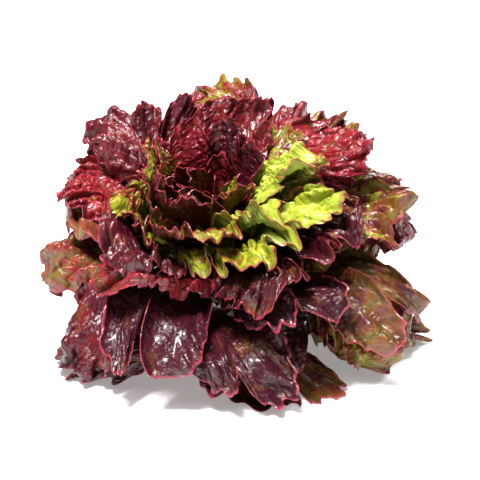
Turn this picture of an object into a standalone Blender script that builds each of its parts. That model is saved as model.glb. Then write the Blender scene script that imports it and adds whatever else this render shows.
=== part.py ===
"""A head of lollo rosso lettuce, as cut: a short stem with its leaves spiralling round it.

Metres, +Z up. The origin is the middle of the stem's cut face, on the surface it rests on.
The head leans towards -Y, so its heart looks up and forward, and its front leaves lie on
the surface. Shapes are worked out in millimetres in the head's own frame, where the stem
runs straight up, and then wobbled, leaned and pressed on the surface by place_in_head().
"""

import math

import bmesh
import bpy
import numpy as np

MM = 0.001

# The whole head
LEAN_DEG = 25.0
DOME_RADIUS = 134.0
DOME_MID_HEIGHT = 86.0
DOME_RISE = 106.0
HEART_DIP = 50.0
HEART_DIP_RADIUS = 42.0
HEART_OFFSET = 25.0
HEART_OFFSET_RADIUS = 70.0
LOWEST_TIP_DEG = -50.0
HIGHEST_TIP_DEG = 84.0

# The stem
STEM_RADIUS = 15.0
STEM_TOP_RADIUS = 7.0
STEM_HEIGHT = 54.0
STEM_BELOW_CUT = 12.0
STEM_GAP = 0.8
STEM_ROOT_GAP = 0.4
STEM_SIDES = 12
LOWEST_ROOT_HEIGHT = 6.0

# The leaves
LEAF_COUNT = 57
GOLDEN_ANGLE_DEG = 137.508
BLADE_THICKNESS = 0.7
RIB_THICKNESS = 1.4
EVENING_PASSES = 2
STEEPEST_COSINE = 0.7
STALK_ROOT_HALF_WIDTH = 4.0
STALK_TOP_HALF_WIDTH = 7.0
FAN_TURN_DEG = 124.0
WIDEST_WRAP_DEG = 105.0
SWERVE_DEG = 26.0
UNEVEN_LENGTH = 0.05
LOBE_SQUARENESS = 2.6
FAN_END_FULLNESS = 0.6
SCALLOPS = 12
SEED = 7
FRONT_AZIMUTH_DEG = -90.0
GREEN_AZIMUTH_DEG = -45.0

# What hangs and lies: how far leaves droop behind the stem and all round, and the lowest point
DROOP_BEHIND = 30.0
DROOP_ROUND = 6.0
LOWEST_POINT = 0.6

# Each kind of leaf: lobes, half width, fold height, scallop and slit depth, cup, reach past the dome
KINDS = {
    "frilled": (4, 45.0, 6.5, 0.04, 0.34, 4.5, 1.03),
    "spoon": (2, 46.0, 4.0, 0.012, 0.5, 6.0, 1.05),
    "round": (3, 40.0, 5.5, 0.025, 0.32, 4.0, 1.0),
    "green": (3, 40.0, 6.0, 0.03, 0.3, 3.0, 0.94),
    "heart": (2, 48.0, 4.5, 0.02, 0.38, 2.5, 0.98),
}

# Leaves squeezed between near neighbours are narrower, with lower folds, by these shares
SQUEEZED = {
    1: 0.9, 4: 0.95, 5: 0.85, 8: 0.84, 9: 0.95, 10: 0.88, 11: 0.88, 13: 0.8, 14: 0.86, 17: 0.85,
    18: 0.9, 19: 0.7, 22: 0.8, 25: 0.95, 27: 0.54, 29: 0.97, 30: 0.7, 32: 0.95, 34: 0.97, 37: 0.88,
    40: 0.76, 42: 0.75, 43: 0.88, 44: 0.8, 45: 0.85, 46: 0.95, 47: 0.85, 48: 0.72, 49: 0.62,
    50: 0.85, 51: 0.58, 52: 0.85, 53: 0.7, 54: 0.68, 55: 0.8, 56: 0.55, 57: 0.65,
}

# Leaves that grew longer or shorter than the others, by these shares
STRETCHED = {
    3: 1.04, 5: 1.04, 6: 1.07, 8: 0.99, 9: 1.05, 11: 1.03, 14: 1.03, 16: 1.03, 18: 1.03, 22: 1.05,
    30: 0.95, 31: 1.03, 33: 1.08, 54: 0.84,
}

# Rows of a leaf from its root out: 0 to 1 is the stalk, 1 to 2 the fan, each with its strips
LEAF_ROWS = ((0.0, 2), (0.5, 2), (1.0, 2), (1.3, 6), (1.62, 12), (1.86, 24), (2.0, 24))


def clear_scene():
    """Takes away whatever stands in the scene, so that only the lettuce is in it."""
    for obj in list(bpy.data.objects):
        bpy.data.objects.remove(obj, do_unlink=True)


def smooth(low, high, x):
    """0 below low, 1 above high, and an even curve between."""
    k = np.clip((x - low) / (high - low), 0.0, 1.0)
    return k * k * (3.0 - 2.0 * k)


def root_point(shell):
    """Where a shell meets the stem, as radius and height. Shell 0 is the lowest, 1 the innermost."""
    radius = STEM_RADIUS + STEM_GAP + (STEM_TOP_RADIUS - STEM_RADIUS) * shell
    height = LOWEST_ROOT_HEIGHT + (STEM_HEIGHT - LOWEST_ROOT_HEIGHT) * shell
    return np.array([radius, height])


def dome_point(angle_deg, depth):
    """A point of the head's dome, or of a smaller one inside it, whose top dips round the heart."""
    angle = np.radians(angle_deg)
    fullness = 0.62 if angle_deg < 0.0 else 1.0
    radius = DOME_RADIUS * depth * np.cos(angle) ** fullness
    dip = HEART_DIP * np.exp(-((radius / HEART_DIP_RADIUS) ** 2)) * (np.sin(angle) > 0)
    height = DOME_MID_HEIGHT + DOME_RISE * depth * np.sin(angle) - dip
    return np.array([radius, height])


def shell_curve(shell, share):
    """Radius and height along a shell: up from the stem, over the dome's inside and down its outside."""
    tip_angle = LOWEST_TIP_DEG + (HIGHEST_TIP_DEG - LOWEST_TIP_DEG) * shell
    root = root_point(shell)
    tip = dome_point(tip_angle, 1.0)
    over = dome_point(tip_angle + 30.0 * (1.0 - shell**2), 0.93 - 0.18 * shell)
    rise = root + (over - root) * 0.42 + np.array([-10.0, 12.0]) * (1.0 - shell)
    a, b = 1.0 - share, share
    weights = (a**3, 3.0 * a * a * b, 3.0 * a * b * b, b**3)
    radius = sum(w * p[0] for w, p in zip(weights, (root, rise, over, tip)))
    height = sum(w * p[1] for w, p in zip(weights, (root, rise, over, tip)))
    return radius, height


def shell_ruler(shell):
    """Shares along a shell and the distances they stand for, a little past the dome."""
    shares = np.linspace(0.0, 1.2, 97)
    radius, height = shell_curve(shell, shares)
    steps = np.hypot(np.diff(radius), np.diff(height))
    return shares, np.concatenate([[0.0], np.cumsum(steps)])


def wobble(points):
    """The uneven lie of a whole head: slow waves that bend neighbouring leaves alike."""
    x, y, z = points[..., 0], points[..., 1], points[..., 2]
    reach = smooth(30.0, 90.0, np.sqrt(x * x + y * y + z * z))
    sway_x = 3.6 * np.sin(0.071 * y + 0.043 * z + 1.3) + 2.6 * np.sin(0.058 * z - 0.094 * x + 0.4)
    sway_y = 3.6 * np.sin(0.067 * x - 0.052 * z + 2.1) + 2.6 * np.sin(0.088 * z + 0.061 * y + 3.0)
    sway_z = 3.6 * np.sin(0.075 * x + 0.059 * y + 4.4) + 2.6 * np.sin(0.083 * y - 0.066 * x + 5.2)
    aside = HEART_OFFSET * np.exp(-(x * x + y * y) / HEART_OFFSET_RADIUS**2) * smooth(30.0, 110.0, z)
    return points + np.stack([sway_x * reach - aside, sway_y * reach, sway_z * reach], axis=-1)


def lean(points):
    """Turns the head's own frame to the standing one."""
    c, s = math.cos(math.radians(LEAN_DEG)), math.sin(math.radians(LEAN_DEG))
    x, y, z = points[..., 0], points[..., 1], points[..., 2]
    return np.stack([x, c * y - s * z, s * y + c * z], axis=-1)


def droop(points):
    """Leaves hang towards the surface under their own weight, most of all behind the stem."""
    x, y, z = points[..., 0], points[..., 1], points[..., 2]
    drop = DROOP_BEHIND * smooth(5.0, 110.0, y) * (1.0 - smooth(30.0, 150.0, z))
    drop = drop + DROOP_ROUND * smooth(40.0, 120.0, np.hypot(x, y)) * (1.0 - smooth(30.0, 120.0, z))
    return np.stack([x, y, z - drop], axis=-1)


def press_on_surface(points):
    """Leaves that would pass below the surface spread flat on it, softly away from the stem."""
    away = np.hypot(points[..., 0], points[..., 1])
    softness = 2.0 + 4.5 * smooth(25.0, 90.0, away)
    risen = softness * np.logaddexp(0.0, (points[..., 2] - LOWEST_POINT) / softness) + LOWEST_POINT
    pushed = 0.8 * (risen - points[..., 2]) * smooth(25.0, 90.0, away) / np.maximum(away, 25.0)
    wide = 1.0 + 0.09 * (1.0 - smooth(0.0, 90.0, risen)) * smooth(25.0, 90.0, away) + pushed
    return np.stack([points[..., 0] * wide, points[..., 1] * (1.0 + pushed), risen], axis=-1)


def place_in_head(points):
    """Takes points of the head's own frame to where they are in the standing head."""
    return press_on_surface(droop(lean(wobble(points))))


class Leaf:
    """One leaf's own sizes: where it grows, how its edge is cut and how it is waved."""

    def __init__(self, number, azimuth_deg, shell, kind, rng):
        self.number = number
        self.azimuth = math.radians(azimuth_deg)
        self.shell = shell
        self.kind = kind
        lobes, half_width, waves, scallops, notch, cup, reach = KINDS[kind]
        self.lobes = lobes
        squeeze = SQUEEZED.get(number, 1.0)
        self.half_width = half_width * (1.0 - 0.3 * shell**2) * rng.uniform(0.93, 1.08) * squeeze**0.5
        self.wave_height = waves * rng.uniform(0.8, 1.15) * squeeze
        self.scallop_depth = scallops
        self.notch_depth = notch * rng.uniform(0.85, 1.15)
        self.cup = cup * rng.uniform(0.8, 1.2)
        self.shares, self.distances = shell_ruler(shell)
        self.length = float(np.interp(1.0, self.shares, self.distances)) * reach * rng.uniform(0.93, 1.05)
        self.length *= STRETCHED.get(number, 1.0) * (1.0 + UNEVEN_LENGTH * math.sin(3.3 * number + 1.0))
        self.stalk = self.length * rng.uniform(0.34, 0.42)
        loose = 1.0 - 0.7 * smooth(0.6, 0.85, shell)
        self.lobe_lift = rng.uniform(-3.0, 3.0, 3) * loose
        self.roll = rng.uniform(-1.4, 1.4) * loose
        self.bend = rng.uniform(-1.2, 1.8) * loose
        self.swerve = math.radians(SWERVE_DEG) * math.sin(2.1 * number + 0.5)


def in_lobe(leaf, across):
    """Which lobe a place across the leaf is in, and where in that lobe, from -1 to 1."""
    place = (across + 1.0) / 2.0 * leaf.lobes
    lobe = np.clip(np.floor(place), 0, leaf.lobes - 1)
    return lobe.astype(int), 2.0 * (place - lobe) - 1.0


def leaf_flat(leaf, row, across):
    """A leaf's flat outline: sideways and lengthways from its root, in millimetres."""
    blade = leaf.length - leaf.stalk
    turn = across * math.radians(FAN_TURN_DEG)
    aside = np.abs(in_lobe(leaf, across)[1])
    lobe_round = (1.0 - aside**LOBE_SQUARENESS) ** (1.0 / LOBE_SQUARENESS)
    lobe_round = lobe_round + (1.0 - lobe_round) * FAN_END_FULLNESS * (np.abs(across) > 1.0 - 1.0 / leaf.lobes)
    scallop = 1.0 + leaf.scallop_depth * np.cos(SCALLOPS * math.pi * (across + 1.0))
    cut = scallop * (1.0 - leaf.notch_depth * (1.0 - lobe_round))
    blunt = 1.0 - 0.35 * smooth(0.7, 0.95, leaf.shell)
    edge_side = leaf.half_width * np.sign(across) * np.abs(np.sin(turn)) ** blunt * cut
    lengthways = np.sign(np.cos(turn)) * np.abs(np.cos(turn)) ** blunt
    edge_ahead = leaf.stalk + blade * (0.55 + 0.45 * lengthways) * cut
    widening = (STALK_TOP_HALF_WIDTH - STALK_ROOT_HALF_WIDTH) * np.clip(row, 0.0, 1.0)
    stalk_half = (STALK_ROOT_HALF_WIDTH + widening) * (1.0 - 0.45 * leaf.shell)
    out = np.clip(row - 1.0, 0.0, 1.0)
    side = stalk_half * across * (1.0 - out) + edge_side * out
    ahead = leaf.stalk * np.clip(row, 0.0, 1.0) * (1.0 - out) + edge_ahead * out
    return side, ahead


def folds(azimuth, ahead, shell):
    """The deep folds of the leaf edges, near alike on leaves that lie on each other."""
    low = 0.6 * np.sin(27.0 * azimuth + 0.16 * ahead + 14.0 * shell)
    low = low + 0.5 * np.sin(17.0 * azimuth - 0.2 * ahead - 15.0 * shell + 1.9)
    middle = 0.6 * np.sin(17.0 * azimuth + 0.17 * ahead + 12.0 * shell + 0.7)
    middle = middle + 0.5 * np.sin(11.0 * azimuth - 0.19 * ahead - 14.0 * shell)
    inner = 0.7 * np.sin(8.0 * azimuth + 0.14 * ahead + 11.0 * shell + 2.0)
    inner = inner + 0.4 * np.sin(5.0 * azimuth - 0.17 * ahead - 9.0 * shell)
    upper = middle + (inner - middle) * smooth(0.75, 0.9, shell)
    return low + (upper - low) * smooth(0.4, 0.6, shell)


def leaf_lift(leaf, row, across, azimuth, ahead):
    """How far a leaf stands off its shell: folds, lobes at their own heights, a cup and a roll."""
    out = np.clip(row - 1.0, 0.0, 1.0)
    room = smooth(0.25, 0.92, ahead / leaf.length) * (1.0 - 0.45 * across**2)
    lift = leaf.wave_height * out**1.8 * folds(azimuth, ahead, leaf.shell)
    lift = lift + 30.0 * leaf.scallop_depth * out**4 * np.cos(SCALLOPS * math.pi * (across + 1.0))
    lobe, aside = in_lobe(leaf, across)
    lift = lift + leaf.lobe_lift[lobe % 3] * out**1.5 * (1.0 - aside**4)
    lift = lift + leaf.cup * (aside**2 - 0.4) * out**1.5
    return (lift + leaf.roll * across * out) * room + leaf.bend * (ahead / leaf.length) ** 3


def leaf_points(leaf, row, across):
    """Points of a leaf's middle surface, placed in the head."""
    side, ahead = leaf_flat(leaf, row, across)
    share = np.interp(ahead, leaf.distances, leaf.shares)
    radius, height = shell_curve(leaf.shell, share)
    radius_on, height_on = shell_curve(leaf.shell, share + 0.01)
    widest = math.radians(WIDEST_WRAP_DEG)
    swerved = leaf.azimuth + leaf.swerve * smooth(0.3, 1.0, ahead / leaf.length)
    azimuth = swerved + widest * np.tanh(side / (np.maximum(radius, 5.0) * widest))
    lift = leaf_lift(leaf, row, across, azimuth, ahead)
    onward, upward = radius_on - radius, height_on - height
    step = np.hypot(onward, upward)
    radius = radius - upward / step * lift
    height = height + onward / step * lift
    points = np.stack([radius * np.cos(azimuth), radius * np.sin(azimuth), height], axis=-1)
    return place_in_head(points)


def leaf_grid(leaf, rows):
    """Vertices and triangles of a leaf's middle surface, with strips that split towards the edge."""
    points, triangles, starts = [], [], []
    for row, strips in rows:
        starts.append(len(points))
        across = np.linspace(-1.0, 1.0, strips + 1)
        points.extend(leaf_points(leaf, np.full_like(across, row), across))
    for (lower, upper), base, top in zip(zip(rows, rows[1:]), starts, starts[1:]):
        split = upper[1] // lower[1]
        for cell in range(lower[1]):
            left = base + cell
            first = top + cell * split
            half = (split + 1) // 2
            for k in range(split):
                corner = left if k < half else left + 1
                triangles.append((corner, first + k + 1, first + k))
            triangles.append((left, left + 1, first + half))
    return np.array(points), triangles


def edge_loop(triangles):
    """The outline of a sheet of triangles, as directed edges."""
    edges = {}
    for a, b, c in triangles:
        for edge in ((a, b), (b, c), (c, a)):
            edges[edge] = True
    return [edge for edge in edges if (edge[1], edge[0]) not in edges]


def spread_to_corners(values, triangles, count):
    """Adds up, at each corner, a value of every triangle that meets there, as unit vectors."""
    totals = np.zeros((count, 3))
    for k in range(3):
        np.add.at(totals, triangles[:, k], values)
    return totals / np.linalg.norm(totals, axis=1, keepdims=True)


def sheet_normals(points, triangles):
    """The way a sheet faces at each point, and the way the sheet round it faces on the whole."""
    corners = points[triangles]
    facing = np.cross(corners[:, 1] - corners[:, 0], corners[:, 2] - corners[:, 0])
    normals = spread_to_corners(facing, triangles, len(points))
    evened = normals
    for _ in range(EVENING_PASSES):
        evened = spread_to_corners(evened[triangles].sum(axis=1), triangles, len(points))
    return normals, evened


def solid_from_sheet(points, triangles, thickness):
    """A closed blade: the sheet moved half its thickness each way, split alike on both faces."""
    normals, evened = sheet_normals(points, np.array(triangles))
    steepness = np.clip(np.sum(normals * evened, axis=1), STEEPEST_COSINE, 1.0)
    half = evened * (np.asarray(thickness) / steepness / 2.0)[:, None]
    count = len(points)
    mesh = bmesh.new()
    verts = [mesh.verts.new(p * MM) for p in np.concatenate([points + half, points - half])]
    for a, b, c in triangles:
        mesh.faces.new((verts[a], verts[b], verts[c]))
        mesh.faces.new((verts[a + count], verts[c + count], verts[b + count]))
    for a, b in edge_loop(triangles):
        mesh.faces.new((verts[b], verts[a], verts[a + count]))
        mesh.faces.new((verts[b], verts[a + count], verts[b + count]))
    return mesh


def add_object(name, mesh, material, sharp_from_deg):
    """Puts a finished mesh in the scene, shaded smooth except at edges sharper than the angle."""
    data = bpy.data.meshes.new(name)
    mesh.to_mesh(data)
    mesh.free()
    data.shade_smooth()
    data.set_sharp_from_angle(angle=math.radians(sharp_from_deg))
    obj = bpy.data.objects.new(name, data)
    obj.data.materials.append(material)
    bpy.context.scene.collection.objects.link(obj)
    return obj


def make_leaf(leaf, material):
    """A leaf as one closed blade, thicker along its rib."""
    points, triangles = leaf_grid(leaf, LEAF_ROWS)
    thickness = []
    for row, strips in LEAF_ROWS:
        across = np.linspace(-1.0, 1.0, strips + 1)
        rib = np.clip(1.0 - np.abs(across) * 2.0, 0.0, 1.0) * (1.0 - row / 2.0) * (1.0 - 0.6 * leaf.shell)
        thickness.extend(BLADE_THICKNESS + (RIB_THICKNESS - BLADE_THICKNESS) * rib)
    mesh = solid_from_sheet(points, triangles, thickness)
    return add_object(f"leaf_{leaf.number:02d}", mesh, material, 60.0)


def make_stem(material):
    """The stem, tapering up through the leaves' roots and cut level where it rests."""
    mesh = bmesh.new()
    radius, height = root_point(np.linspace(0.0, 1.0, 7))
    profile = [(STEM_RADIUS, -STEM_BELOW_CUT), (STEM_RADIUS, 0.0)]
    profile += [(r - STEM_GAP - STEM_ROOT_GAP, z) for r, z in zip(radius, height)]
    turns = 2.0 * math.pi * np.arange(STEM_SIDES) / STEM_SIDES
    rings = []
    for r, z in profile:
        ring = np.stack([r * np.cos(turns), r * np.sin(turns), np.full(STEM_SIDES, z)], axis=-1)
        rings.append([mesh.verts.new(p * MM) for p in lean(wobble(ring))])
    for lower, upper in zip(rings, rings[1:]):
        for k in range(STEM_SIDES):
            after = (k + 1) % STEM_SIDES
            mesh.faces.new((lower[k], lower[after], upper[after], upper[k]))
    mesh.faces.new(list(reversed(rings[0])))
    mesh.faces.new(rings[-1])
    whole = mesh.verts[:] + mesh.edges[:] + mesh.faces[:]
    cut = bmesh.ops.bisect_plane(mesh, geom=whole, plane_co=(0, 0, 0), plane_no=(0, 0, -1), clear_outer=True)
    rim = [e for e in cut["geom_cut"] if isinstance(e, bmesh.types.BMEdge)]
    bmesh.ops.contextual_create(mesh, geom=rim)
    bmesh.ops.recalc_face_normals(mesh, faces=mesh.faces[:])
    return add_object("stem", mesh, material, 40.0)


def plain_material(name, colour, roughness):
    """A plain finish of one colour."""
    material = bpy.data.materials.new(name)
    material.use_nodes = True
    shader = material.node_tree.nodes["Principled BSDF"]
    shader.inputs["Base Color"].default_value = (*colour, 1.0)
    shader.inputs["Roughness"].default_value = roughness
    return material


def turned_from(azimuth_deg, middle_deg):
    """How far an azimuth is from another, from 0 to 180 degrees."""
    return abs((azimuth_deg - middle_deg + 180.0) % 360.0 - 180.0)


def kind_of(azimuth_deg, shell):
    """Green leaves right of the heart, plain ones in it, blistered round it, spoons low in front."""
    if turned_from(azimuth_deg, GREEN_AZIMUTH_DEG) < 30.0 and 0.66 < shell < 0.86:
        return "green"
    if shell > 0.74:
        return "heart"
    if turned_from(azimuth_deg, FRONT_AZIMUTH_DEG) < 50.0 and shell < 0.5:
        return "spoon"
    if shell > 0.55:
        return "round"
    return "frilled"


def all_leaves():
    """The leaves in the order they grew, lowest first, each a golden angle on from the one before."""
    rng = np.random.default_rng(SEED)
    leaves = []
    for number in range(LEAF_COUNT):
        azimuth = GOLDEN_ANGLE_DEG * number
        frontness = 0.5 - 0.5 * math.sin(math.radians(azimuth))
        start = 0.13 * frontness**1.5
        shell = start + (0.98 - start) * (number / (LEAF_COUNT - 1)) ** 0.94
        leaves.append(Leaf(number + 1, azimuth, shell, kind_of(azimuth, shell), rng))
    return leaves


# Plain colours of the leaves, by kind
COLOURS = {
    "frilled": (0.12, 0.015, 0.03),
    "spoon": (0.06, 0.01, 0.03),
    "round": (0.09, 0.01, 0.03),
    "green": (0.35, 0.55, 0.05),
    "heart": (0.10, 0.01, 0.02),
}


def build():
    """The whole head: the stem and then its leaves."""
    clear_scene()
    make_stem(plain_material("cut stem", (0.8, 0.78, 0.6), 0.5))
    for leaf in all_leaves():
        make_leaf(leaf, plain_material(f"{leaf.kind} leaf {leaf.number:02d}", COLOURS[leaf.kind], 0.4))


build()
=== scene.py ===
import math

import bmesh
import bpy
import numpy as np
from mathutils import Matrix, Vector


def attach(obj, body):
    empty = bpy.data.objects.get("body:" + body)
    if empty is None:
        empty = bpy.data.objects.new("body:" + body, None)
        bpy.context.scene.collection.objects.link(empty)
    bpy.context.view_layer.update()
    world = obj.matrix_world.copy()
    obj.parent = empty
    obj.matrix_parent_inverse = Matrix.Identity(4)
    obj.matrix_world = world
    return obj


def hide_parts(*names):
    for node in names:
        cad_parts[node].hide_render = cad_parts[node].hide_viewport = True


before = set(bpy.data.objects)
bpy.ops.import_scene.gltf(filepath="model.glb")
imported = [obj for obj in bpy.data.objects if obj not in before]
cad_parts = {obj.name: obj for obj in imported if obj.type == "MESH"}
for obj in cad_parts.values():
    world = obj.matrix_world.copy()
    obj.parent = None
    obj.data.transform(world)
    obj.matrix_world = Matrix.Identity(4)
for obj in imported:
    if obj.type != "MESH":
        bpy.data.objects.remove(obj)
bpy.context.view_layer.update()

MM = 0.001

# The cut stem
# A short thick stem of pale, crisp tissue that carries every leaf. It is cut flat below the
# lowest leaves, and the cut face has dried to a rusty brown round its paler middle.


class Wire:
    """A socket of a material's nodes, so that shader maths reads as maths."""

    def __init__(self, paint, socket):
        self.paint = paint
        self.socket = socket

    def maths(self, operation, first, second=0.0):
        """The result of one operation on two values or wires, as a wire."""
        return self.paint.node("Math", {"operation": operation}, {0: first, 1: second})

    def __add__(self, other):
        return self.maths("ADD", self, other)

    def __radd__(self, other):
        return self.maths("ADD", other, self)

    def __sub__(self, other):
        return self.maths("SUBTRACT", self, other)

    def __rsub__(self, other):
        return self.maths("SUBTRACT", other, self)

    def __mul__(self, other):
        return self.maths("MULTIPLY", self, other)

    def __rmul__(self, other):
        return self.maths("MULTIPLY", other, self)

    def between(self, low, high):
        """0 where the value is under low, 1 where it is over high, and an even curve between."""
        settings = {"interpolation_type": "SMOOTHSTEP"}
        return self.paint.node("MapRange", settings, {"Value": self, "From Min": low, "From Max": high})


class Paint:
    """A material with one Principled shader, built up from nodes."""

    def __init__(self, name, **constants):
        self.material = bpy.data.materials.new(name)
        self.material.use_nodes = True
        self.tree = self.material.node_tree
        self.shader = self.tree.nodes["Principled BSDF"]
        for socket, value in constants.items():
            self.shader.inputs[socket.replace("_", " ")].default_value = value

    def put(self, socket, value):
        """Sets a socket, or links it to a wire."""
        if isinstance(value, Wire):
            self.tree.links.new(value.socket, socket)
        elif isinstance(value, tuple) and len(value) == 3 and socket.type == "RGBA":
            socket.default_value = (*value, 1.0)
        else:
            socket.default_value = value

    def node(self, kind, settings, sockets, out=0):
        """A node of that kind, with its settings and its sockets, as the wire from one output."""
        made = self.tree.nodes.new("ShaderNode" + kind)
        for name, value in settings.items():
            setattr(made, name, value)
        for name, value in sockets.items():
            self.put(made.inputs[name], value)
        return Wire(self, made.outputs[out])

    def mix(self, share, first, second):
        """The first colour, giving way to the second as share goes from 0 to 1."""
        settings = {"data_type": "RGBA"}
        return self.node("Mix", settings, {0: share, 6: first, 7: second}, out=2)

    def attribute(self, name, out=2):
        """A number (output 2) or a vector (output 1) that the mesh holds at its points."""
        return self.node("Attribute", {"attribute_name": name}, {}, out=out)

    def place(self):
        """Where a point is in its own mesh, in metres."""
        return self.node("TexCoord", {}, {}, out=3)

    def noise(self, vector, scale, detail=2.0):
        """Soft random patches from 0 to 1, finer as the scale goes up."""
        return self.node("TexNoise", {}, {"Vector": vector, "Scale": scale, "Detail": detail})

    def finish(self, colour, roughness, height, depth):
        """Leads colour, roughness and relief to the shader. Depth is the relief's height in metres."""
        self.put(self.shader.inputs["Base Color"], colour)
        self.put(self.shader.inputs["Roughness"], roughness)
        bump = self.node("Bump", {}, {"Height": height, "Distance": depth})
        self.put(self.shader.inputs["Normal"], bump)
        return self.material


def stem_paint():
    """The stem's finish: pale and greenish skin, and a cut face that has dried rusty round its middle."""
    pale, green, rust = (0.72, 0.74, 0.5), (0.42, 0.52, 0.2), (0.3, 0.13, 0.045)
    paint = Paint("cut stem", Subsurface_Weight=0.1, Subsurface_Scale=0.004)
    place = paint.place()
    height = paint.node("SeparateXYZ", {}, {"Vector": place}, out=2)
    across = paint.node("VectorMath", {"operation": "LENGTH"}, {0: place}, out=1)
    grain = paint.noise(place, 900.0)
    patches = paint.noise(place, 120.0)
    skin = paint.mix((patches + 0.4 * grain).between(0.5, 0.9), pale, green)
    dried = paint.mix((across * 60.0 + patches).between(0.75, 1.5), pale, rust)
    colour = paint.mix(height.between(0.0006, 0.0001), skin, dried)
    return paint.finish(colour, 0.4 + 0.2 * grain, grain + patches, 0.0006)


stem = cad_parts["stem"]
stem.data.materials.clear()
stem.data.materials.append(stem_paint())

# The frilled leaves
# The lower and outer leaves, each one soft blade on a short stalk, in a fan of four lobes whose
# edge grows faster than its middle and so stands in frills within frills. All leaves lie on each
# other in nested shells round the stem, a golden angle apart, and lean with the head.

# The head's own measures, in millimetres and before it leans
LEAN_DEG = 25.0
DOME_RADIUS = 134.0
DOME_MID_HEIGHT = 86.0
DOME_RISE = 106.0
HEART_DIP = 50.0
HEART_DIP_RADIUS = 42.0
HEART_OFFSET = 25.0
HEART_OFFSET_RADIUS = 70.0
SWAY = 3.6
SMALL_SWAY = 2.6
LOWEST_TIP_DEG = -50.0
HIGHEST_TIP_DEG = 84.0
STEM_RADIUS = 15.0
STEM_TOP_RADIUS = 7.0
STEM_HEIGHT = 54.0
STEM_GAP = 0.8
LOWEST_ROOT_HEIGHT = 6.0
STALK_ROOT_HALF_WIDTH = 4.0
STALK_TOP_HALF_WIDTH = 11.0
DROOP_BEHIND = 30.0
DROOP_ROUND = 6.0
LOWEST_POINT = 0.6
FAN_TURN_DEG = 124.0
WIDEST_WRAP_DEG = 105.0
SWERVE_DEG = 26.0
UNEVEN_LENGTH = 0.05
FAN_END_FULLNESS = 0.6
LOBE_SQUARENESS = 2.6
SCALLOPS = 12

# Leaves squeezed between near neighbours are narrower, with lower folds, by these shares
SQUEEZED = {
    1: 0.9, 4: 0.95, 5: 0.85, 8: 0.84, 9: 0.95, 10: 0.88, 11: 0.88, 13: 0.8, 14: 0.86, 17: 0.85,
    18: 0.9, 19: 0.7, 22: 0.8, 25: 0.95, 27: 0.54, 29: 0.97, 30: 0.7, 32: 0.95, 34: 0.97, 37: 0.88,
    40: 0.76, 42: 0.75, 43: 0.88, 44: 0.8, 45: 0.85, 46: 0.95, 47: 0.85, 48: 0.72, 49: 0.62,
    50: 0.85, 51: 0.58, 52: 0.85, 53: 0.7, 54: 0.68, 55: 0.8, 56: 0.55, 57: 0.65,
}

# Leaves that grew longer or shorter than the others, by these shares
STRETCHED = {
    3: 1.04, 5: 1.04, 6: 1.07, 8: 0.99, 9: 1.05, 11: 1.03, 14: 1.03, 16: 1.03, 18: 1.03, 22: 1.05,
    30: 0.95, 31: 1.03, 33: 1.08, 54: 0.84,
}


def smooth(low, high, x):
    """0 below low, 1 above high, and an even curve between."""
    k = np.clip((x - low) / (high - low), 0.0, 1.0)
    return k * k * (3.0 - 2.0 * k)


def root_point(shell):
    """Where a shell meets the stem, as radius and height. Shell 0 is the lowest, 1 the innermost."""
    radius = STEM_RADIUS + STEM_GAP + (STEM_TOP_RADIUS - STEM_RADIUS) * shell
    height = LOWEST_ROOT_HEIGHT + (STEM_HEIGHT - LOWEST_ROOT_HEIGHT) * shell
    return np.array([radius, height])


def dome_point(angle_deg, depth):
    """A point of the head's dome, or of a smaller one inside it, whose top dips round the heart."""
    angle = np.radians(angle_deg)
    fullness = 0.62 if angle_deg < 0.0 else 1.0
    radius = DOME_RADIUS * depth * np.cos(angle) ** fullness
    dip = HEART_DIP * np.exp(-((radius / HEART_DIP_RADIUS) ** 2)) * (np.sin(angle) > 0)
    height = DOME_MID_HEIGHT + DOME_RISE * depth * np.sin(angle) - dip
    return np.array([radius, height])


def shell_curve(shell, share):
    """Radius and height along a shell: up from the stem, over the dome's inside and down its outside."""
    tip_angle = LOWEST_TIP_DEG + (HIGHEST_TIP_DEG - LOWEST_TIP_DEG) * shell
    root = root_point(shell)
    tip = dome_point(tip_angle, 1.0)
    over = dome_point(tip_angle + 30.0 * (1.0 - shell**2), 0.93 - 0.18 * shell)
    rise = root + (over - root) * 0.42 + np.array([-10.0, 12.0]) * (1.0 - shell)
    a, b = 1.0 - share, share
    weights = (a**3, 3.0 * a * a * b, 3.0 * a * b * b, b**3)
    radius = sum(w * p[0] for w, p in zip(weights, (root, rise, over, tip)))
    height = sum(w * p[1] for w, p in zip(weights, (root, rise, over, tip)))
    return radius, height


def shell_ruler(shell):
    """Shares along a shell and the distances they stand for, a little past the dome."""
    shares = np.linspace(0.0, 1.2, 97)
    radius, height = shell_curve(shell, shares)
    steps = np.hypot(np.diff(radius), np.diff(height))
    return shares, np.concatenate([[0.0], np.cumsum(steps)])


def wobble(points):
    """The uneven lie of a whole head: slow waves that bend neighbouring leaves alike."""
    x, y, z = points[..., 0], points[..., 1], points[..., 2]
    reach = smooth(30.0, 90.0, np.sqrt(x * x + y * y + z * z))
    sway_x = SWAY * np.sin(0.071 * y + 0.043 * z + 1.3) + SMALL_SWAY * np.sin(0.058 * z - 0.094 * x + 0.4)
    sway_y = SWAY * np.sin(0.067 * x - 0.052 * z + 2.1) + SMALL_SWAY * np.sin(0.088 * z + 0.061 * y + 3.0)
    sway_z = SWAY * np.sin(0.075 * x + 0.059 * y + 4.4) + SMALL_SWAY * np.sin(0.083 * y - 0.066 * x + 5.2)
    aside = HEART_OFFSET * np.exp(-(x * x + y * y) / HEART_OFFSET_RADIUS**2) * smooth(30.0, 110.0, z)
    return points + np.stack([sway_x * reach - aside, sway_y * reach, sway_z * reach], axis=-1)


def lean(points):
    """Turns the head's own frame to the standing one."""
    c, s = math.cos(math.radians(LEAN_DEG)), math.sin(math.radians(LEAN_DEG))
    x, y, z = points[..., 0], points[..., 1], points[..., 2]
    return np.stack([x, c * y - s * z, s * y + c * z], axis=-1)


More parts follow.
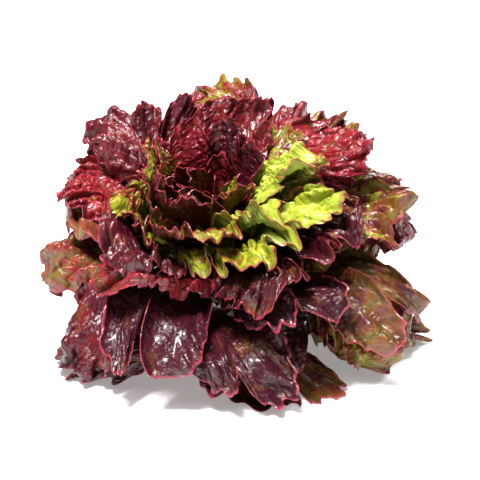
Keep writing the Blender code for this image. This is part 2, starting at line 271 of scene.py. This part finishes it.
def droop(points):
    """Leaves hang towards the surface under their own weight, most of all behind the stem."""
    x, y, z = points[..., 0], points[..., 1], points[..., 2]
    drop = DROOP_BEHIND * smooth(5.0, 110.0, y) * (1.0 - smooth(30.0, 150.0, z))
    drop = drop + DROOP_ROUND * smooth(40.0, 120.0, np.hypot(x, y)) * (1.0 - smooth(30.0, 120.0, z))
    return np.stack([x, y, z - drop], axis=-1)


def press_on_surface(points):
    """Leaves that would pass below the surface spread flat on it, softly away from the stem."""
    away = np.hypot(points[..., 0], points[..., 1])
    softness = 2.0 + 4.5 * smooth(25.0, 90.0, away)
    risen = softness * np.logaddexp(0.0, (points[..., 2] - LOWEST_POINT) / softness) + LOWEST_POINT
    pushed = 0.8 * (risen - points[..., 2]) * smooth(25.0, 90.0, away) / np.maximum(away, 25.0)
    wide = 1.0 + 0.09 * (1.0 - smooth(0.0, 90.0, risen)) * smooth(25.0, 90.0, away) + pushed
    return np.stack([points[..., 0] * wide, points[..., 1] * (1.0 + pushed), risen], axis=-1)


class Kind:
    """What the leaves of one kind share, from their outline to their frills and blisters."""

    def __init__(self, name, slot, paint, lobes, half_width, waves, scallops, notch, cup, reach,
                 frills, teeth, blister, curl):
        self.name, self.slot, self.paint = name, slot, paint
        self.lobes, self.half_width, self.waves, self.scallops = lobes, half_width, waves, scallops
        self.notch, self.cup, self.reach = notch, cup, reach
        self.frills = frills
        self.tooth_pitch, self.tooth_depth = teeth
        self.blister_size, self.blister_height = blister
        self.curl = curl


class Leaf:
    """One leaf's own sizes: where it grows, how its edge is cut and how it is waved."""

    def __init__(self, number, azimuth_deg, shell, kind, draws):
        def draw(low, high):
            """The next of the random numbers, brought between low and high."""
            return low + (high - low) * next(draws)

        self.number = number
        self.azimuth = math.radians(azimuth_deg)
        self.shell = shell
        self.kind = kind
        self.lobes = kind.lobes
        squeeze = SQUEEZED.get(number, 1.0)
        self.half_width = kind.half_width * (1.0 - 0.3 * shell**2) * draw(0.93, 1.08) * squeeze**0.5
        self.wave_height = kind.waves * draw(0.8, 1.15) * squeeze
        self.scallop_depth = kind.scallops
        self.notch_depth = kind.notch * draw(0.85, 1.15)
        self.cup = kind.cup * draw(0.8, 1.2)
        self.shares, self.distances = shell_ruler(shell)
        full = float(np.interp(1.0, self.shares, self.distances))
        self.length = full * kind.reach * draw(0.93, 1.05) * STRETCHED.get(number, 1.0)
        self.length *= 1.0 + UNEVEN_LENGTH * math.sin(3.3 * number + 1.0)
        self.stalk = self.length * draw(0.34, 0.42)
        loose = 1.0 - 0.7 * smooth(0.6, 0.85, shell)
        self.lobe_lift = np.array([draw(-3.0, 3.0) for _ in range(3)]) * loose
        self.roll = draw(-1.4, 1.4) * loose
        self.bend = draw(-1.2, 1.8) * loose
        self.swerve = math.radians(SWERVE_DEG) * math.sin(2.1 * number + 0.5)
        ruler = np.linspace(-1.0, 1.0, 241)
        side, ahead = leaf_flat(self, np.full_like(ruler, 2.0), ruler)
        steps = np.hypot(np.diff(side), np.diff(ahead))
        self.edge_ruler = (ruler, np.concatenate([[0.0], np.cumsum(steps)]))


def in_lobe(leaf, across):
    """Which lobe a place across the leaf is in, and where in that lobe, from -1 to 1."""
    place = (across + 1.0) / 2.0 * leaf.lobes
    lobe = np.clip(np.floor(place), 0, leaf.lobes - 1)
    return lobe.astype(int), np.clip(2.0 * (place - lobe) - 1.0, -1.0, 1.0)


def leaf_flat(leaf, row, across, teeth=0.0):
    """A leaf's flat outline: sideways and lengthways from its root, in millimetres."""
    blade = leaf.length - leaf.stalk
    turn = across * math.radians(FAN_TURN_DEG)
    aside = np.abs(in_lobe(leaf, across)[1])
    lobe_round = (1.0 - aside**LOBE_SQUARENESS) ** (1.0 / LOBE_SQUARENESS)
    at_fan_end = np.abs(across) > 1.0 - 1.0 / leaf.lobes
    lobe_round = lobe_round + (1.0 - lobe_round) * FAN_END_FULLNESS * at_fan_end
    scallop = 1.0 + leaf.scallop_depth * np.cos(SCALLOPS * math.pi * (across + 1.0)) + teeth
    cut = scallop * (1.0 - leaf.notch_depth * (1.0 - lobe_round))
    blunt = 1.0 - 0.35 * smooth(0.7, 0.95, leaf.shell)
    edge_side = leaf.half_width * np.sign(across) * np.abs(np.sin(turn)) ** blunt * cut
    lengthways = np.sign(np.cos(turn)) * np.abs(np.cos(turn)) ** blunt
    edge_ahead = leaf.stalk + blade * (0.55 + 0.45 * lengthways) * cut
    widening = (STALK_TOP_HALF_WIDTH - STALK_ROOT_HALF_WIDTH) * np.clip(row, 0.0, 1.0)
    stalk_half = (STALK_ROOT_HALF_WIDTH + widening) * (1.0 - 0.45 * leaf.shell)
    out = np.clip(row - 1.0, 0.0, 1.0)
    side = stalk_half * across * (1.0 - out) + edge_side * out
    ahead = leaf.stalk * np.clip(row, 0.0, 1.0) * (1.0 - out) + edge_ahead * out
    return side, ahead


def folds(azimuth, ahead, shell):
    """The deep folds of the leaf edges, near alike on leaves that lie on each other."""
    low = 0.6 * np.sin(27.0 * azimuth + 0.16 * ahead + 14.0 * shell)
    low = low + 0.5 * np.sin(17.0 * azimuth - 0.2 * ahead - 15.0 * shell + 1.9)
    middle = 0.6 * np.sin(17.0 * azimuth + 0.17 * ahead + 12.0 * shell + 0.7)
    middle = middle + 0.5 * np.sin(11.0 * azimuth - 0.19 * ahead - 14.0 * shell)
    inner = 0.7 * np.sin(8.0 * azimuth + 0.14 * ahead + 11.0 * shell + 2.0)
    inner = inner + 0.4 * np.sin(5.0 * azimuth - 0.17 * ahead - 9.0 * shell)
    upper = middle + (inner - middle) * smooth(0.75, 0.9, shell)
    return low + (upper - low) * smooth(0.4, 0.6, shell)


def leaf_lift(leaf, row, across, azimuth, ahead):
    """How far a leaf stands off its shell: folds, lobes at their own heights, a cup and a roll."""
    out = np.clip(row - 1.0, 0.0, 1.0)
    room = smooth(0.25, 0.92, ahead / leaf.length) * (1.0 - 0.45 * across**2)
    lift = leaf.wave_height * out**1.8 * folds(azimuth, ahead, leaf.shell)
    lift = lift + 30.0 * leaf.scallop_depth * out**4 * np.cos(SCALLOPS * math.pi * (across + 1.0))
    lobe, aside = in_lobe(leaf, across)
    lift = lift + leaf.lobe_lift[lobe % 3] * out**1.5 * (1.0 - aside**4)
    lift = lift + leaf.cup * (aside**2 - 0.4) * out**1.5
    return (lift + leaf.roll * across * out) * room + leaf.bend * (ahead / leaf.length) ** 3


def cells(x, y, seed):
    """How deep a point is inside its cell of a cracked pattern, about 0 at the cracks and 1 inside."""
    column, line = np.floor(x), np.floor(y)
    near, next_near = np.full_like(x, 9.0), np.full_like(x, 9.0)
    for i in (-1, 0, 1):
        for j in (-1, 0, 1):
            a, b = column + i, line + j
            turn_x = np.sin(127.1 * a + 311.7 * b + seed) * 43758.5
            turn_y = np.sin(269.5 * a + 183.3 * b + seed) * 24634.6
            middle_x = a + 0.15 + 0.7 * (turn_x - np.floor(turn_x))
            middle_y = b + 0.15 + 0.7 * (turn_y - np.floor(turn_y))
            distance = np.hypot(x - middle_x, y - middle_y)
            next_near = np.minimum(next_near, np.maximum(near, distance))
            near = np.minimum(near, distance)
    return np.clip((next_near - near) / 0.55, 0.0, 1.0)


def veins(leaf, side, across, out):
    """The veins' depth in the upper face: a midrib, and branches that fan out and fade."""
    midrib = np.exp(-((side / (3.2 - 1.9 * out)) ** 2)) * (1.0 - smooth(0.55, 0.98, out))
    branches = np.zeros_like(side)
    spread = np.maximum(leaf.half_width * 2.2 * out, 3.0)
    for k in (-3, -2, -1, 1, 2, 3):
        line = 0.21 * k + 0.03 * math.sin(leaf.number * 3.1 + k * 2.3) * out
        branches = branches + np.exp(-(((across - line) * spread / 1.7) ** 2))
    return midrib + 0.4 * branches * smooth(0.1, 0.3, out) * (1.0 - smooth(0.7, 1.0, out))


def frills(leaf, row, across):
    """The ruffles of the edge: how far each stands up, and how far it bulges along the edge."""
    out = np.clip(row - 1.0, 0.0, 1.0)
    run = np.interp(across, *leaf.edge_ruler)
    lift, slide = np.zeros_like(run), np.zeros_like(run)
    for k, (pitch, height, start) in enumerate(leaf.kind.frills):
        wander = 2.4 * np.sin(run / 23.0 + 2.1 * leaf.number + k)
        uneven = 1.0 + 0.45 * np.sin(run / 11.0 + 4.3 * leaf.number + 2.0 * k)
        turn = 2.0 * math.pi * run / pitch + wander + leaf.number * (1.7 + k)
        grown = height * uneven * smooth(start, 1.0, out) ** 1.2
        lift = lift + grown * np.sin(turn + 0.5 * out)
        slide = slide - 0.4 * grown * np.sin(2.0 * turn)
    return lift, slide * 2.0 / leaf.edge_ruler[1][-1]


def fine_lift(leaf, side, ahead, across, out):
    """The blisters and veins that a leaf carries on its folds, and where each of them is."""
    size = leaf.kind.blister_size
    puffed = cells(side / size + leaf.number * 3.7, ahead / (1.25 * size), leaf.number)
    puff = (1.0 - (1.0 - puffed) ** 2) * smooth(0.12, 0.4, out) * (1.0 - 0.45 * smooth(0.8, 1.0, out))
    vein = veins(leaf, side, across, out)
    lift = leaf.kind.blister_height * (puff - 0.5) * (1.0 - np.minimum(vein, 1.0)) - 0.8 * vein
    return lift, puff, vein


def leaf_points(leaf, row, across):
    """Points of a leaf's middle surface, placed in the head, and the marks that its paint reads."""
    out = np.clip(row - 1.0, 0.0, 1.0)
    run = np.interp(across, *leaf.edge_ruler)
    tooth = np.abs(np.sin(math.pi * run / leaf.kind.tooth_pitch + leaf.number)) - 0.6
    teeth = leaf.kind.tooth_depth / leaf.half_width * tooth * smooth(0.75, 1.0, out)
    frill, slide = frills(leaf, row, across)
    curl = leaf.kind.curl * (0.6 + 0.8 * np.sin(run / 19.0 + 1.7 * leaf.number))
    rolled = np.abs(curl) / 80.0 * smooth(0.8, 1.0, out) ** 2
    side, ahead = leaf_flat(leaf, row - rolled, across + slide, teeth)
    share = np.interp(ahead, leaf.distances, leaf.shares)
    radius, height = shell_curve(leaf.shell, share)
    radius_on, height_on = shell_curve(leaf.shell, share + 0.01)
    widest = math.radians(WIDEST_WRAP_DEG)
    swerved = leaf.azimuth + leaf.swerve * smooth(0.3, 1.0, ahead / leaf.length)
    azimuth = swerved + widest * np.tanh(side / (np.maximum(radius, 5.0) * widest))
    fine, puff, vein = fine_lift(leaf, side, ahead, across, out)
    lift = leaf_lift(leaf, row, across, azimuth, ahead) + fine + frill
    lift = lift + curl * smooth(0.76, 1.0, out) ** 1.5
    onward, upward = radius_on - radius, height_on - height
    step = np.hypot(onward, upward)
    radius = radius - upward / step * lift
    height = height + onward / step * lift
    points = np.stack([radius * np.cos(azimuth), radius * np.sin(azimuth), height], axis=-1)
    placed = press_on_surface(droop(lean(wobble(points))))
    flat = np.stack([side / 10.0, ahead / 10.0, np.full_like(side, 7.3 * leaf.number)], axis=-1)
    return placed * MM, {"flat": flat, "out": out, "puff": puff, "vein": vein}


# A leaf's grid has these rows, and this many strips at its stalk, split in two past each of the splits
STRIPS = 24
ROWS = np.concatenate([
    np.linspace(0.0, 1.0, 4), np.linspace(1.0, 1.3, 5)[1:], np.linspace(1.3, 1.55, 7)[1:],
    np.linspace(1.55, 1.8, 11)[1:], np.linspace(1.8, 2.0, 11)[1:],
])
SPLITS = (1.3, 1.55, 1.8)
SAME_ROW = 1e-5

BLADE_THICKNESS = 0.5


def leaf_grid():
    """A grid whose x runs across a leaf from -1 to 1 and whose y is the row, finer towards the edge."""
    grid = bmesh.new()
    count = len(ROWS) - 1
    bmesh.ops.create_grid(grid, x_segments=STRIPS, y_segments=count, size=1.0)
    for vertex in grid.verts:
        vertex.co.y = ROWS[round((vertex.co.y + 1.0) / 2.0 * count)]
    for row in SPLITS:
        strips = [e for e in grid.edges if abs(e.verts[0].co.y - e.verts[1].co.y) < SAME_ROW
                  and e.verts[0].co.y > row - SAME_ROW]
        bmesh.ops.subdivide_edges(grid, edges=strips, cuts=1)
    return grid


def points_of(source, key, count):
    """The vectors that a mesh, or a mark on it, holds at its points, a row for each point."""
    values = np.empty(count * 3, np.float32)
    source.foreach_get(key, values)
    return values.reshape(-1, 3)


def mark_points(mesh, name, values):
    """Gives each point of a mesh a number, or a vector where the values come in rows."""
    kind, key = ("FLOAT_VECTOR", "vector") if values.ndim == 2 else ("FLOAT", "value")
    mark = mesh.attributes.new(name, kind, "POINT")
    mark.data.foreach_set(key, values.astype(np.float32).ravel())


def thicken(mesh):
    """Makes a closed blade of a leaf's sheet, half of it to each side, and marks its under face."""
    sheet_count = len(mesh.vertices)
    mark_points(mesh, "facing", points_of(mesh.vertices, "normal", sheet_count))
    blade = bmesh.new()
    blade.from_mesh(mesh)
    bmesh.ops.solidify(blade, geom=blade.faces[:], thickness=0.0)
    blade.to_mesh(mesh)
    blade.free()
    count = len(mesh.vertices)
    upper = np.arange(count) >= sheet_count
    facing = points_of(mesh.attributes["facing"].data, "vector", count)
    moved = (0.5 - upper[:, None]) * BLADE_THICKNESS * MM * facing
    corners = points_of(mesh.vertices, "co", count) + moved
    mesh.vertices.foreach_set("co", corners.astype(np.float32).ravel())
    mark_points(mesh, "under", ~upper)


def grow(leaf, tone):
    """One leaf of its own, in the place of its plain solid."""
    name = f"{leaf.kind.name}_leaf_{leaf.number:02d}"
    mesh = bpy.data.meshes.new(name)
    grid = leaf_grid()
    grid.to_mesh(mesh)
    grid.free()
    flat = points_of(mesh.vertices, "co", len(mesh.vertices)).astype(float)
    points, marks = leaf_points(leaf, flat[:, 1], flat[:, 0])
    mesh.vertices.foreach_set("co", points.astype(np.float32).ravel())
    for mark, values in marks.items():
        mark_points(mesh, mark, values)
    mesh.update()
    thicken(mesh)
    mark_points(mesh, "tone", np.tile(tone, (len(mesh.vertices), 1)))
    mesh.shade_smooth()
    mesh.set_sharp_from_angle(angle=math.radians(75.0))
    mesh.materials.append(leaf.kind.paint)
    piece = bpy.data.objects.new(name, mesh)
    bpy.context.scene.collection.objects.link(piece)
    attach(piece, "root")
    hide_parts(f"leaf_{leaf.number:02d}")


def leaf_paint(name, dark, bright, rim, olive, low, under, gloss):
    """A leaf's finish: dark and bright patches, olive and green between its blisters and towards its
    foot, painted shade that darkens the valleys between its blisters and its stalk and foot, a thin
    rim, a paler underside, veins, and the fine crackle of its skin."""
    paint = Paint(name, Coat_Weight=gloss, Coat_Roughness=0.12, Specular_IOR_Level=0.25)
    flat = paint.attribute("flat", out=1)
    out = paint.attribute("out")
    puff = paint.attribute("puff")
    vein = paint.attribute("vein")
    below = paint.attribute("under")
    tone = paint.attribute("tone", out=1)
    darkness = paint.node("SeparateXYZ", {}, {"Vector": tone}, out=0)
    redness = paint.node("SeparateXYZ", {}, {"Vector": tone}, out=1)
    greenness = paint.node("SeparateXYZ", {}, {"Vector": tone}, out=2)
    patches = paint.noise(flat, 0.55, 3.0)
    speckle = paint.noise(flat, 3.2, 3.0)
    fine = paint.noise(flat, 14.0, 2.0)
    crackle = paint.node("TexVoronoi", {"feature": "DISTANCE_TO_EDGE"}, {"Vector": flat, "Scale": 2.2})
    net = 1.0 - crackle.between(0.0, 0.16)
    lit = patches + 0.5 * speckle - 0.55 * darkness + 0.5 * redness
    colour = paint.mix(lit.between(0.35, 1.1), dark, bright)
    turned = greenness + 1.8 * patches + 0.4 * speckle - 0.4 * out - 0.8 * puff - 0.1
    colour = paint.mix(turned.between(0.4, 0.95) * 0.85, colour, olive)
    colour = paint.mix((turned - 0.25 * out).between(0.7, 1.1), colour, low)
    # Painted shade: the valleys between the blisters, and the stalk and foot of the blade where no
    # blisters rise, are darkened towards the dark colour
    colour = paint.mix(puff.between(0.75, 0.0) * 0.7, colour, dark)
    colour = paint.mix(below * (0.5 + 0.4 * patches), colour, under)
    colour = paint.mix(vein.between(0.3, 1.0) * 0.35 + net * below * 0.3, colour, under)
    edge = (out + 0.04 * speckle).between(0.985, 1.02)
    colour = paint.mix(edge * (0.55 + 0.45 * redness), colour, rim)
    roughness = 0.14 + 0.3 * speckle + 0.15 * below
    height = 0.5 * crackle.between(0.0, 0.35) + 0.15 * fine + 1.1 * speckle
    return paint.finish(colour, roughness, height, 0.0013)


FRILLED = Kind(
    "frilled", "frilled_leaf",
    leaf_paint("frilled leaf", dark=(0.04, 0.0035, 0.007), bright=(0.19, 0.009, 0.016),
               rim=(0.22, 0.013, 0.03), olive=(0.15, 0.055, 0.007), low=(0.24, 0.25, 0.015),
               under=(0.13, 0.02, 0.022), gloss=0.15),
    lobes=4, half_width=45.0, waves=6.5, scallops=0.015, notch=0.14, cup=4.5, reach=1.04,
    frills=((25.0, 4.0, 0.45), (13.0, 2.6, 0.7)), teeth=(7.0, 1.0),
    blister=(9.0, 3.4), curl=-5.5)

# The spoon leaves
# The broad smooth leaves in front, darker and glossier than the others, cupped like spoons in
# two lobes, with a bright pink-red rim that rolls up.

SPOON = Kind(
    "spoon", "smooth_leaf",
    leaf_paint("spoon leaf", dark=(0.032, 0.004, 0.009), bright=(0.12, 0.008, 0.018),
               rim=(0.3, 0.03, 0.055), olive=(0.12, 0.045, 0.008), low=(0.12, 0.09, 0.01),
               under=(0.16, 0.022, 0.03), gloss=0.25),
    lobes=2, half_width=43.0, waves=4.0, scallops=0.012, notch=0.52, cup=9.0, reach=1.09,
    frills=((27.0, 2.2, 0.45), (13.0, 1.2, 0.7), (7.0, 0.4, 0.85)), teeth=(11.0, 0.9),
    blister=(11.0, 1.5), curl=6.5)

# The blistered leaves
# The rounder leaves over the middle of the head. Their skin puffs up between the veins, so
# that they are blistered all over, wine red where the light reaches them.

ROUND = Kind(
    "round", "blistered_leaf",
    leaf_paint("blistered leaf", dark=(0.038, 0.0033, 0.007), bright=(0.18, 0.009, 0.015),
               rim=(0.22, 0.013, 0.03), olive=(0.15, 0.06, 0.007), low=(0.24, 0.27, 0.015),
               under=(0.13, 0.02, 0.022), gloss=0.2),
    lobes=3, half_width=40.0, waves=3.6, scallops=0.01, notch=0.14, cup=4.0, reach=1.02,
    frills=((22.0, 3.6, 0.45), (12.0, 2.2, 0.7)), teeth=(7.0, 0.9),
    blister=(9.0, 3.6), curl=-5.0)

# The green leaves
# A few leaves to the right of the heart that grew in its shade and stayed a clear yellow
# green, with a thin reddish rim where they reached the light.

GREEN = Kind(
    "green", "green_leaf",
    leaf_paint("green leaf", dark=(0.15, 0.17, 0.01), bright=(0.3, 0.34, 0.022),
               rim=(0.26, 0.06, 0.03), olive=(0.25, 0.28, 0.016), low=(0.33, 0.39, 0.05),
               under=(0.28, 0.34, 0.06), gloss=0.15),
    lobes=3, half_width=40.0, waves=6.0, scallops=0.015, notch=0.22, cup=3.0, reach=0.94,
    frills=((24.0, 3.4, 0.45), (11.0, 2.0, 0.68)), teeth=(7.0, 0.9),
    blister=(9.0, 3.2), curl=-2.5)

# The heart leaves
# The youngest leaves, rolled round each other in a dark swirl with their thin bright edges
# up, still too small and too tightly held to frill much.

HEART = Kind(
    "heart", "heart_leaf",
    leaf_paint("heart leaf", dark=(0.028, 0.002, 0.005), bright=(0.14, 0.006, 0.012),
               rim=(0.22, 0.012, 0.026), olive=(0.11, 0.035, 0.005), low=(0.2, 0.2, 0.015),
               under=(0.12, 0.014, 0.018), gloss=0.25),
    lobes=2, half_width=48.0, waves=3.2, scallops=0.01, notch=0.3, cup=2.5, reach=0.98,
    frills=((19.0, 2.2, 0.5), (9.0, 1.2, 0.75)), teeth=(7.0, 1.0),
    blister=(6.0, 1.6), curl=1.5)


# Where each kind grows: the middle and half spread of its azimuths, and shells from 0 to 1
GREEN_AZIMUTH_DEG = -45.0
GREEN_SPREAD_DEG = 30.0
GREEN_SHELLS = (0.66, 0.86)
SPOON_AZIMUTH_DEG = -90.0
SPOON_SPREAD_DEG = 50.0
SPOON_SHELLS = (0.0, 0.5)
LOWEST_HEART_SHELL = 0.74
LOWEST_ROUND_SHELL = 0.55


def turned_from(azimuth_deg, middle_deg):
    """How far an azimuth is from another, from 0 to 180 degrees."""
    return abs((azimuth_deg - middle_deg + 180.0) % 360.0 - 180.0)


def kind_of(azimuth_deg, shell):
    """Green leaves right of the heart, plain ones in it, blistered round it, spoons low in front."""
    by_green = turned_from(azimuth_deg, GREEN_AZIMUTH_DEG) < GREEN_SPREAD_DEG
    if by_green and GREEN_SHELLS[0] < shell < GREEN_SHELLS[1]:
        return GREEN
    if shell > LOWEST_HEART_SHELL:
        return HEART
    in_front = turned_from(azimuth_deg, SPOON_AZIMUTH_DEG) < SPOON_SPREAD_DEG
    if in_front and SPOON_SHELLS[0] <= shell < SPOON_SHELLS[1]:
        return SPOON
    if shell > LOWEST_ROUND_SHELL:
        return ROUND
    return FRILLED


# How the leaves differ in colour, by number: dark as plums, warm pink, olive at the foot, or green there
PLUM = (4, 5, 8, 11, 13, 16, 21, 24, 32, 34, 35, 36, 44, 50, 51)
PINK = (2, 20, 29, 31, 38, 49)
OLIVE = (3, 6, 9, 10, 14, 15, 18, 19, 22, 26, 27, 30, 33)
GREEN_FOOT = (12, 37, 39, 40, 42, 43, 45, 47, 48, 52, 53, 56)


def mood_of(number):
    """How dark, how red and how green a leaf is, each from about 0 to about 1."""
    sway = 0.12 * math.sin(number * 2.4)
    if number in PLUM:
        return 0.8 + sway, 0.3 - sway, 0.05 + sway
    if number in PINK:
        return 0.25 + sway, 0.7 - sway, 0.15
    if number in OLIVE:
        return 0.4 + sway, 0.45 - sway, 0.6 + sway
    if number in GREEN_FOOT:
        return 0.35 + sway, 0.7 - sway, 1.0 + sway
    return 0.5 + sway, 0.55 - sway, 0.2 + sway


LEAF_COUNT = 57
GOLDEN_ANGLE_DEG = 137.508
SEED = 7
DRAWS_PER_LEAF = 11

draws = iter(np.random.default_rng(SEED).random(LEAF_COUNT * DRAWS_PER_LEAF).tolist())
for number in range(LEAF_COUNT):
    azimuth_deg = GOLDEN_ANGLE_DEG * number
    frontness = 0.5 - 0.5 * math.sin(math.radians(azimuth_deg))
    start = 0.13 * frontness**1.5
    shell = start + (0.98 - start) * (number / (LEAF_COUNT - 1)) ** 0.94
    leaf = Leaf(number + 1, azimuth_deg, shell, kind_of(azimuth_deg, shell), draws)
    grow(leaf, mood_of(number + 1))

# The studio
# A plain white floor that glows a little, a soft light above and in front, a fainter one behind,
# a broad even sky, and the camera at the photograph's angle, a little above the head and
# straight in front of it.

CAMERA_HEIGHT_DEG = 20.0
FRAME_WIDTH = 0.348
LENS = 100.0
SENSOR = 36.0
AIM = Vector((0.003, -0.037, 0.079))
LAMP_SIZE = 0.3
FLOOR_HALF_WIDTH = 6.0
FLOOR_WHITE = (0.93, 0.93, 0.93, 1.0)
FLOOR_GLOW = 0.3
ROOM_LIGHT = 0.14


def floor_paint():
    """The floor's finish: dull and nearly white, with a faint glow that keeps its shadow pale."""
    paint = Paint("white floor", Roughness=0.9, Specular_IOR_Level=0.1, Emission_Strength=FLOOR_GLOW)
    for socket in ("Base Color", "Emission Color"):
        paint.shader.inputs[socket].default_value = FLOOR_WHITE
    return paint.material


mesh = bpy.data.meshes.new("floor")
sheet = bmesh.new()
bmesh.ops.create_grid(sheet, x_segments=1, y_segments=1, size=FLOOR_HALF_WIDTH)
sheet.to_mesh(mesh)
sheet.free()
mesh.materials.append(floor_paint())
floor = bpy.data.objects.new("floor", mesh)
bpy.context.scene.collection.objects.link(floor)


def soft_light(name, place, watts):
    """A square lamp that shines at the head."""
    lamp = bpy.data.lights.new(name, "AREA")
    lamp.energy, lamp.size = watts, LAMP_SIZE
    light = bpy.data.objects.new(name, lamp)
    light.location = place
    light.rotation_euler = (AIM - Vector(place)).to_track_quat("-Z", "Y").to_euler()
    bpy.context.scene.collection.objects.link(light)


soft_light("over_light", (-0.25, -0.45, 1.1), 43.0)
soft_light("back_light", (0.5, 0.7, 1.0), 18.0)

sun = bpy.data.lights.new("sky_light", "SUN")
sun.energy, sun.angle = 1.3, math.radians(50.0)
sky = bpy.data.objects.new("sky_light", sun)
sky.rotation_euler = (math.radians(15.0), math.radians(-10.0), 0.0)
bpy.context.scene.collection.objects.link(sky)

# The room is white where the camera sees it, and lights the head only faintly
world = bpy.data.worlds.new("studio")
world.use_nodes = True
room = world.node_tree
backdrop = room.nodes["Background"]
backdrop.inputs["Color"].default_value = (1.0, 1.0, 1.0, 1.0)
seen = room.nodes.new("ShaderNodeLightPath")
brightness = room.nodes.new("ShaderNodeMapRange")
brightness.inputs["To Min"].default_value = ROOM_LIGHT
room.links.new(seen.outputs["Is Camera Ray"], brightness.inputs["Value"])
room.links.new(brightness.outputs["Result"], backdrop.inputs["Strength"])
bpy.context.scene.world = world
bpy.context.scene.view_settings.view_transform = "Standard"

lens = bpy.data.cameras.new("camera")
lens.lens, lens.sensor_width = LENS, SENSOR
camera = bpy.data.objects.new("camera", lens)
height = math.radians(CAMERA_HEIGHT_DEG)
back = Vector((0.0, -math.cos(height), math.sin(height)))
camera.location = AIM + back * (FRAME_WIDTH * LENS / SENSOR)
camera.rotation_euler = (-back).to_track_quat("-Z", "Y").to_euler()
bpy.context.scene.collection.objects.link(camera)
bpy.context.scene.camera = camera
